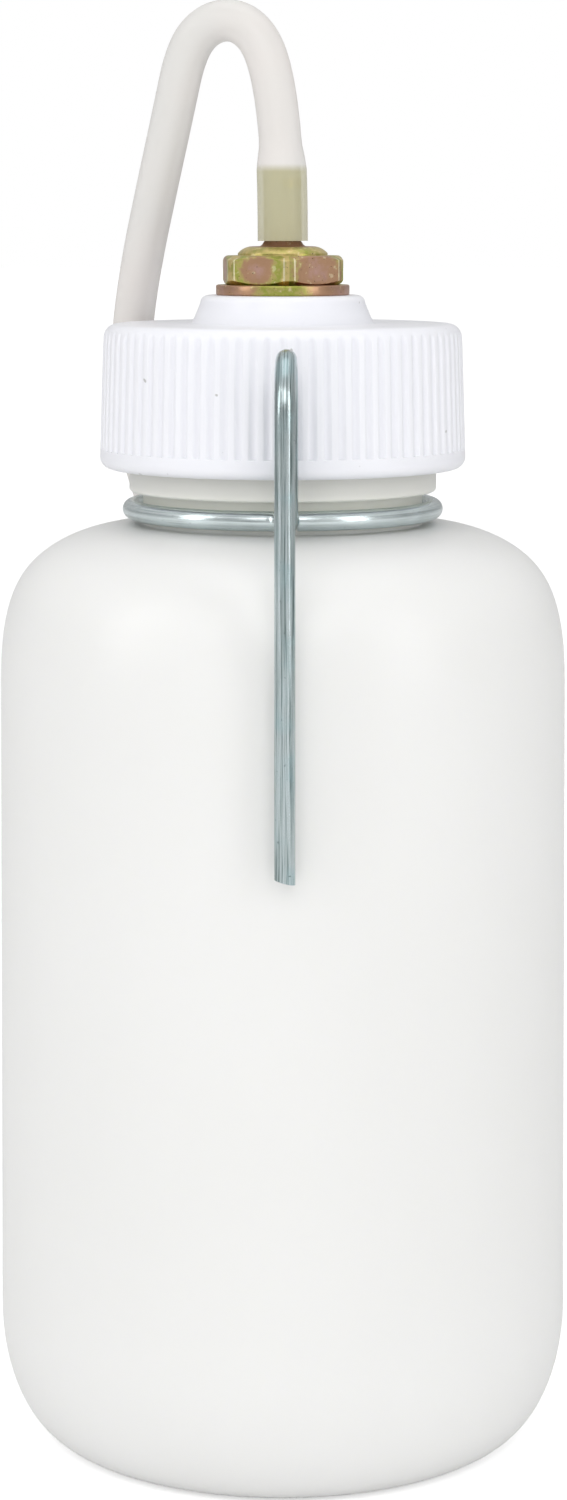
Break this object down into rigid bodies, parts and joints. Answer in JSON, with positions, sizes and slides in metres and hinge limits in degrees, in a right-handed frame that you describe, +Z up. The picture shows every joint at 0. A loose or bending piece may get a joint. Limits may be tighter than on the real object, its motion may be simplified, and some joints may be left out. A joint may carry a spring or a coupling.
{
  "type": "brake bleed bottle",
  "caption": "Translucent bottle with ribbed screw cap, hose fitting, silicone hose and bent wire hanger, for catching and topping up bled fluid.",
  "frame": {"origin": "centre of the bottle's base, on the surface it stands on", "axes": "+Z up along the bottle and the cap's thread, -Y towards the hanger's hook, +X to the right seen from the hook's side"},
  "size_m": [0.0967, 0.1891, 0.2356],
  "materials": {
    "bottle_polyethylene": "translucent natural polyethylene, satin",
    "cap_polypropylene": "white moulded, satin",
    "liner_foam": "foamed sealing disc",
    "zinc_yellow": "yellow chromate zinc plate, iridescent",
    "zinc_blue": "blue chromate zinc plate on drawn wire",
    "hose_silicone": "translucent silicone",
    "seal_rubber": "black seal rubber",
    "connector_rubber": "black moulded rubber"
  },
  "bodies": {
    "bottle": {"bottle_body": "bottle_polyethylene", "hose_coil": "hose_silicone", "hose_tail": "hose_silicone", "bleed_connector": "connector_rubber"},
    "hose_top": {"hose": "hose_silicone"},
    "cap": {"screw_cap": "cap_polypropylene", "cap_liner": "liner_foam", "outer_washer": "zinc_yellow", "hose_fitting": "zinc_yellow", "seal_washer": "seal_rubber", "inner_washer": "zinc_yellow", "lock_nut": "zinc_yellow"},
    "hanger": {"wire_hanger": "zinc_blue"}
  },
  "joints": [
    {"name": "cap_lift", "type": "slide", "parent": "bottle", "child": "hose_top", "axis": [0, 0, 1], "range_m": [0, 0.006]},
    {"name": "cap_turn", "type": "hinge", "parent": "hose_top", "child": "cap", "pos_m": [0, 0, 0.17], "axis": [0, 0, 1], "range_deg": [0, 540]},
    {"name": "hanger_turn", "type": "hinge", "parent": "bottle", "child": "hanger", "pos_m": [0, 0, 0.1515], "axis": [0, 0, 1], "range_deg": [-100, 100]}
  ],
  "couplings": [
    {"joint": "cap_lift", "follows": "cap_turn", "m_per_rad": 0.0006366}
  ]
}
